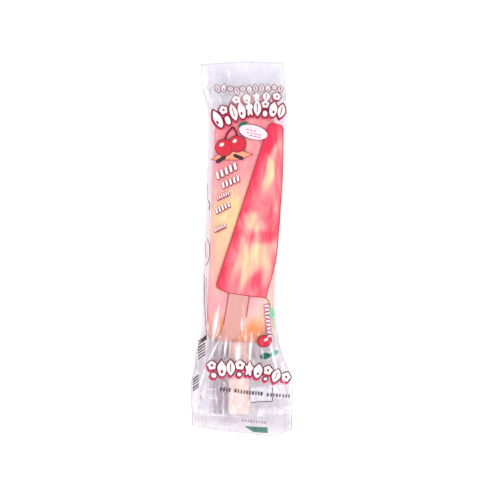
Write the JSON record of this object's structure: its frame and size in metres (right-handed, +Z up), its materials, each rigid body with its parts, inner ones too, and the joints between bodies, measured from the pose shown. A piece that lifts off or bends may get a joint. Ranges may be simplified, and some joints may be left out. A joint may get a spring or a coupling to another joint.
{
  "type": "wrapped ice pop",
  "caption": "Long ice pop on a flat wooden stick, sealed in a clear printed film pack with ribbed end seals, lying on its back.",
  "frame": {"origin": "middle of the pack's box, on the surface that the pack lies on", "axes": "+X to the pack's right seen from the front, +Y from the stick's end to the pop's tip, +Z up out of the printed front"},
  "size_m": [0.069, 0.2531, 0.0215],
  "materials": {
    "film": "thin clear film with red, pink and yellow contents and print showing"
  },
  "bodies": {
    "root": {"wrapper": "film"}
  },
  "joints": []
}
